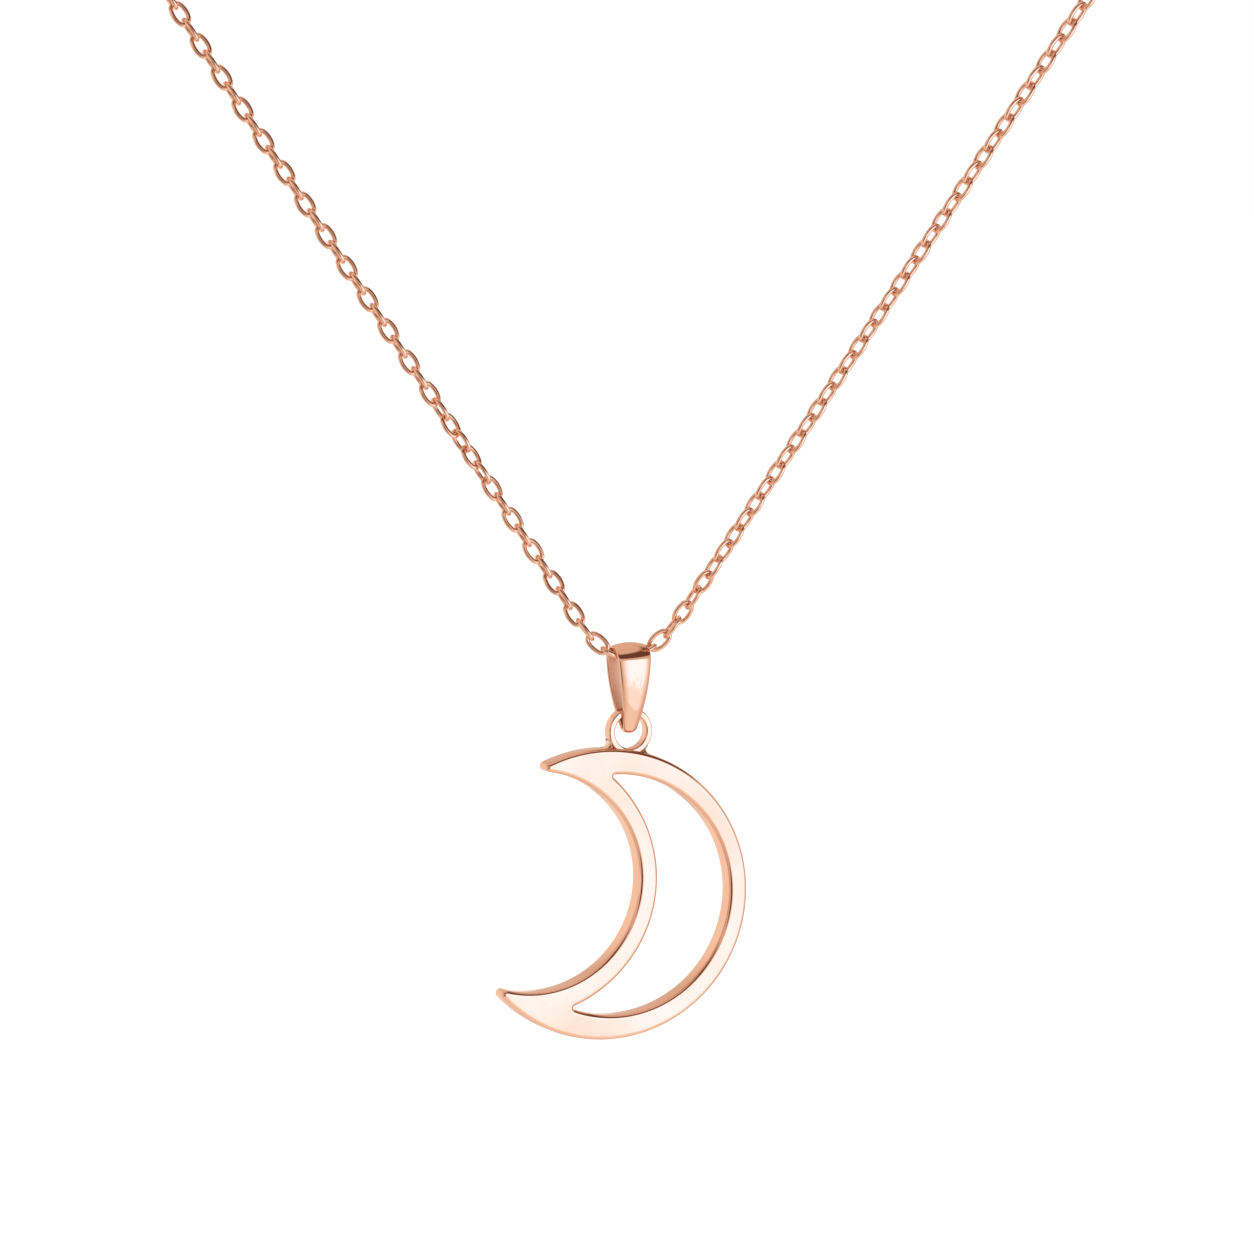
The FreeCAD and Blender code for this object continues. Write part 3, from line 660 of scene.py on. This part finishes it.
class NECKLACE_OT_eye(bpy.types.Operator):
    """Finish the eye ring and the solder that holds it on the moon"""
    bl_idname = "necklace.eye"
    bl_label = "Eye ring"

    RING_STEPS = 120
    FILLET_POINTS = 20
    # how far the fillet's ends flare, as a share of its radius
    FILLET_FLARE = 0.35
    # how far it reaches to each side, as a share of the ring's depth
    FILLET_REACH = 0.46

    def execute(self, context):
        look = context.scene.necklace_metal
        shape = context.scene.necklace_pendant
        ring = metal("eye_gold", look.gold, look.deep_gold, look.polish,
                     spread=0.05, lines=0.1, waviness=0.5, bump=0.000004, tone=0.3)
        # the solder's paler gold is painted light that lightens the dark concave corner between the
        # ring and the moon; its roughness is real
        solder = metal("solder_gold", look.painted_light_gold, look.gold, 0.3,
                       spread=0.12, lines=0.4, waviness=0.8, bump=0.000006, tone=0.5, scale=900.0)
        middle = (shape.eye_outer + shape.eye_hole) / 2
        section = rounded_section((shape.eye_outer - shape.eye_hole) / 2,
                                  shape.eye_depth / 2, shape.eye_edge)
        points = []
        for step in range(self.RING_STEPS):
            a = 2 * math.pi * step / self.RING_STEPS
            points += [((middle + out) * math.cos(a), depth,
                        -shape.eye_drop + (middle + out) * math.sin(a)) for out, depth in section]
        piece = new_piece("eye_ring", points, tube_faces(self.RING_STEPS, len(section)),
                          place_of_pendant(shape), ring)
        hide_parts("pendant_ring")
        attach(piece, "pendant")
        for side, word in ((-1, "left"), (1, "right")):
            fillet = self.solder(shape, side)
            rings = len(fillet) // self.FILLET_POINTS
            faces = [tuple(range(self.FILLET_POINTS)),
                     tuple(reversed(range(len(fillet) - self.FILLET_POINTS, len(fillet))))]
            faces += tube_faces(rings, self.FILLET_POINTS)[:(rings - 1) * self.FILLET_POINTS]
            piece = new_piece("solder_fillet_" + word, fillet, faces,
                              place_of_pendant(shape), solder)
            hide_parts("solder_" + word)
            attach(piece, "pendant")
        return {"FINISHED"}

    @classmethod
    def solder(cls, shape, side, radius=0.55 * MM, sunk=0.12 * MM, slices=9):
        """Rings of a small concave fillet between the ring and the moon's top edge."""
        outer = Oval(OUTER_OVAL)
        ring = np.array([0.0, -shape.eye_drop])
        # walk along the moon's edge until a ball of this radius touches the ring as well
        t = math.radians(100.0)
        step = -side * math.radians(0.02)
        while np.linalg.norm(outer.point(t, radius) - ring) < shape.eye_outer + radius:
            t += step
        ball = outer.point(t, radius)
        on_ring = (ring - ball) / np.linalg.norm(ring - ball)
        on_moon = -outer.normal(t)
        first = math.atan2(on_ring[1], on_ring[0])
        sweep = math.atan2(on_moon[1], on_moon[0]) - first
        sweep = (sweep + math.pi) % (2 * math.pi) - math.pi
        inner = ball + (on_ring + on_moon) * (radius + sunk)
        points = []
        curve = cls.FILLET_POINTS - 1
        for level in range(slices):
            along = 2 * level / (slices - 1) - 1
            pull = cls.FILLET_FLARE * radius * along ** 4
            depth = cls.FILLET_REACH * shape.eye_depth * along
            for spot in range(curve):
                a = first + sweep * spot / (curve - 1)
                way = np.array([math.cos(a), math.sin(a)])
                x, z = ball + way * (radius + pull * math.sin(math.pi * spot / (curve - 1)))
                points.append((x, depth, z))
            points.append((inner[0], depth, inner[1]))
        return points


class NECKLACE_OT_clasp(bpy.types.Operator):
    """Finish the lobster clasp"""
    bl_idname = "necklace.clasp"
    bl_label = "Clasp"

    def execute(self, context):
        look = context.scene.necklace_metal
        body = metal("clasp_gold", look.gold, look.deep_gold, look.chain_polish,
                     spread=0.08, lines=0.45, waviness=0.7, bump=0.000012, tone=0.45)
        dark_steel = [part * 0.8 for part in look.steel]
        steel = metal("spring_steel", look.steel, dark_steel, 0.24,
                      spread=0.1, lines=0.6, waviness=0.2, bump=0.000004, tone=0.5, scale=900.0)
        for node in ("clasp_body", "clasp_lever"):
            finish_node(node, body)
        for node in ("clasp_pin", "clasp_spring"):
            finish_node(node, steel)
        return {"FINISHED"}


# ------------------------------------------------------------------ studio
WHITE = (1.0, 1.0, 1.0, 1.0)

TENT_PAPER = (0.78, 0.62, 0.53, 1.0)
# azimuth, elevation, full within, gone beyond (degrees), colour
TENT_PANELS = (
    (0, 90, 20, 55, (0.80, 0.62, 0.52, 1.0)),
    (0, -90, 25, 60, (0.95, 0.84, 0.75, 1.0)),
    (50, -42, 18, 40, (1.02, 0.93, 0.84, 1.0)),
    (-132, -8, 24, 44, (1.02, 0.90, 0.80, 1.0)),
    (180, -6, 6, 16, (1.0, 0.96, 0.92, 1.0)),
    (-16, -6, 9, 22, (0.03, 0.014, 0.009, 1.0)),
    (-74, -4, 5, 12, (1.3, 1.28, 1.25, 1.0)),
)
# The dark band high at the front and right, which the bail's top mirrors. Each edge is
# given by the elevations where the band is gone and where it is full, in degrees.
BAND_COLOUR = (0.16, 0.075, 0.045, 1.0)
BAND_LOW_EDGE = (24, 29)
BAND_HIGH_EDGE = (60, 50)
BAND_AZIMUTH = 50
BAND_SOFTNESS = 0.15

# The key card: azimuth and elevation in degrees, distance as a share of the tent's radius,
# width and height in metres, and its colours at the sides, the bottom and the top.
KEY_WAY = (50, -8)
KEY_DISTANCE = 0.7
KEY_SIZE = (0.32, 0.2)
KEY_COLOURS = ((0.94, 0.80, 0.72, 1.0), (1.10, 1.24, 1.34, 1.0), (1.26, 1.68, 2.2, 1.0))
CARD_CLOUD_SCALE = 42.0
CARD_CLOUD_RISE = 0.02

FLOOR_REACH = 6.0
LAMP_SIZE = 1.2
LAMP_PLACE = (0.0, 0.8, 2.0)
SENSOR_WIDTH = 36.0
CLIP_START = 0.05
CLIP_END = 30.0
AIM_ACROSS = -0.00013


def white_world(scene):
    """A plain white surround at strength 1."""
    world = bpy.data.worlds.new("white_surround")
    scene.world = world
    world.use_nodes = True
    world.node_tree.nodes.clear()
    tree = Tree(world.node_tree)
    back = tree.node("ShaderNodeBackground")
    back.inputs["Color"].default_value = WHITE
    back.inputs["Strength"].default_value = 1.0
    out = tree.node("ShaderNodeOutputWorld")
    tree.link(back.outputs[0], out.inputs["Surface"])


def towards(azimuth, elevation):
    """Unit vector; azimuth 0 is the front and 90 the viewer's right, in degrees."""
    a, e = math.radians(azimuth), math.radians(elevation)
    return Vector((math.sin(a) * math.cos(e), -math.cos(a) * math.cos(e), math.sin(e)))


def facing(tree, direction, azimuth, elevation):
    """Cosine of the angle between a direction and the one given in degrees."""
    item = tree.node("ShaderNodeVectorMath", operation="DOT_PRODUCT")
    tree.link(direction, item.inputs[0])
    item.inputs[1].default_value = towards(azimuth, elevation)
    return item.outputs["Value"]


def reflector(card, material_name):
    """Makes a glowing stage piece that only reflections show: its tree and colour socket."""
    card.visible_camera = False
    card.visible_diffuse = False
    card.visible_shadow = False
    material, tree, surface = new_material(material_name)
    card.data.materials.append(material)
    glow = tree.node("ShaderNodeEmission")
    tree.link(glow.outputs[0], surface)
    return tree, glow.inputs["Color"]


def light_tent(centre, studio):
    """A round tent of warm paper with pale and dark panels, which the metal reflects."""
    work = bmesh.new()
    bmesh.ops.create_uvsphere(work, u_segments=64, v_segments=32, radius=studio.tent_radius)
    mesh = bpy.data.meshes.new("light_tent")
    work.to_mesh(mesh)
    work.free()
    tent = put("light_tent", mesh)
    tent.location = centre
    tree, glow = reflector(tent, "tent_paper")
    spot = tree.node("ShaderNodeVectorMath", operation="NORMALIZE")
    tree.link(tree.place(), spot.inputs[0])
    direction = spot.outputs[0]

    shade = TENT_PAPER
    for azimuth, elevation, inner, outer, colour_there in TENT_PANELS:
        part = tree.span(facing(tree, direction, azimuth, elevation),
                         math.cos(math.radians(outer)), math.cos(math.radians(inner)))
        shade = tree.mix(part, shade, colour_there)

    parts = tree.node("ShaderNodeSeparateXYZ")
    tree.link(direction, parts.inputs[0])
    above, below = [tree.span(parts.outputs["Z"], math.sin(math.radians(gone)),
                              math.sin(math.radians(full)))
                    for gone, full in (BAND_LOW_EDGE, BAND_HIGH_EDGE)]
    side = tree.span(facing(tree, direction, BAND_AZIMUTH, 0), -BAND_SOFTNESS, BAND_SOFTNESS)
    band = tree.maths("MULTIPLY", tree.maths("MULTIPLY", above, below), side)
    tree.link(tree.mix(band, shade, BAND_COLOUR), glow)


def softbox(name, centre, distance, azimuth, elevation, wide, high, rim, bottom, top):
    """A glowing card that faces the pendant, with its own colours at the top, bottom and rim."""
    way = towards(azimuth, elevation)
    mesh = bpy.data.meshes.new(name)
    x, y = wide / 2, high / 2
    mesh.from_pydata([(-x, -y, 0), (x, -y, 0), (x, y, 0), (-x, y, 0)], [], [(0, 1, 2, 3)])
    card = put(name, mesh)
    card.location = centre + way * distance
    card.rotation_mode = "QUATERNION"
    card.rotation_quaternion = way.to_track_quat("Z", "Y")
    tree, glow = reflector(card, name)
    place = tree.place()
    spot = tree.node("ShaderNodeSeparateXYZ")
    tree.link(place, spot.inputs[0])
    clouds = tree.span(tree.noise(place, CARD_CLOUD_SCALE, 1.0), 0.36, 0.62,
                       -CARD_CLOUD_RISE, CARD_CLOUD_RISE)
    height = tree.maths("ADD", spot.outputs["Y"], clouds)
    middle = tree.mix(tree.span(height, -0.38 * y, 0.1 * y), bottom, top)
    aside = tree.maths("ABSOLUTE", spot.outputs["X"])
    tree.link(tree.mix(tree.span(aside, 0.45 * x, x), middle, rim), glow)


def floor_material():
    material, tree, surface = new_material("pale_floor")
    matt = tree.node("ShaderNodeBsdfDiffuse")
    matt.inputs["Color"].default_value = WHITE
    tree.link(matt.outputs[0], surface)
    return material


class NECKLACE_OT_studio(bpy.types.Operator):
    """Set up the floor, the light and the camera"""
    bl_idname = "necklace.studio"
    bl_label = "Studio"

    def execute(self, context):
        studio = context.scene.necklace_studio
        scene = context.scene
        mesh = bpy.data.meshes.new("floor")
        z = CAD_BOX[0].z - studio.floor_drop
        reach = FLOOR_REACH
        mesh.from_pydata([(-reach, -reach, z), (reach, -reach, z), (reach, reach, z),
                          (-reach, reach, z)], [], [(0, 1, 2, 3)])
        floor = put("floor", mesh)
        mesh.materials.append(floor_material())
        white_world(scene)
        bail_low, bail_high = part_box("bail")
        centre = (bail_low + bail_high) / 2
        moon_low, moon_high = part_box("moon_frame")
        middle = (moon_low + moon_high) / 2
        light_tent(middle, studio)
        softbox("key_softbox", middle, KEY_DISTANCE * studio.tent_radius,
                *KEY_WAY, *KEY_SIZE, *KEY_COLOURS)
        lamp = bpy.data.lights.new("overhead_lamp", "AREA")
        lamp.shape = "DISK"
        lamp.size = LAMP_SIZE
        lamp.energy = studio.lamp_power
        top = put("overhead_lamp", lamp)
        top.location = middle + Vector(LAMP_PLACE)
        top.visible_camera = False
        scene.view_settings.view_transform = "Standard"
        camera = bpy.data.cameras.new("camera")
        camera.sensor_width = SENSOR_WIDTH
        camera.lens = SENSOR_WIDTH * studio.camera_distance / studio.frame_width
        camera.clip_start = CLIP_START
        camera.clip_end = CLIP_END
        view = put("camera", camera)
        aim = Vector((AIM_ACROSS, centre.y, bail_high.z + studio.aim_above))
        lift = studio.camera_height
        back = Vector((0.0, -math.cos(lift), math.sin(lift)))
        view.location = aim + back * studio.camera_distance
        view.rotation_mode = "QUATERNION"
        view.rotation_quaternion = (-back).to_track_quat("-Z", "Y")
        scene.camera = view
        return {"FINISHED"}


OPERATORS = (NECKLACE_OT_chain, NECKLACE_OT_bail, NECKLACE_OT_moon, NECKLACE_OT_eye,
             NECKLACE_OT_clasp, NECKLACE_OT_studio)


class NECKLACE_PT_panel(bpy.types.Panel):
    """Lists the pieces of the necklace"""
    bl_label = "Moon pendant necklace"
    bl_idname = "NECKLACE_PT_panel"
    bl_space_type = "VIEW_3D"
    bl_region_type = "UI"
    bl_category = "Necklace"

    def draw(self, context):
        scene = context.scene
        for group in (scene.necklace_metal, scene.necklace_pendant, scene.necklace_studio):
            box = self.layout.box()
            for name in group.__annotations__:
                box.prop(group, name)
        for operator in OPERATORS:
            self.layout.operator(operator.bl_idname)


CLASSES = (MetalSettings, PendantSettings, StudioSettings) + OPERATORS + (NECKLACE_PT_panel,)


def register():
    for item in CLASSES:
        bpy.utils.register_class(item)
    bpy.types.Scene.necklace_metal = bpy.props.PointerProperty(type=MetalSettings)
    bpy.types.Scene.necklace_pendant = bpy.props.PointerProperty(type=PendantSettings)
    bpy.types.Scene.necklace_studio = bpy.props.PointerProperty(type=StudioSettings)


def unregister():
    del bpy.types.Scene.necklace_studio
    del bpy.types.Scene.necklace_pendant
    del bpy.types.Scene.necklace_metal
    for item in reversed(CLASSES):
        bpy.utils.unregister_class(item)


def main():
    register()
    bpy.ops.necklace.chain()
    bpy.ops.necklace.bail()
    bpy.ops.necklace.moon()
    bpy.ops.necklace.eye()
    bpy.ops.necklace.clasp()
    bpy.ops.necklace.studio()


if __name__ == "__main__":
    main()
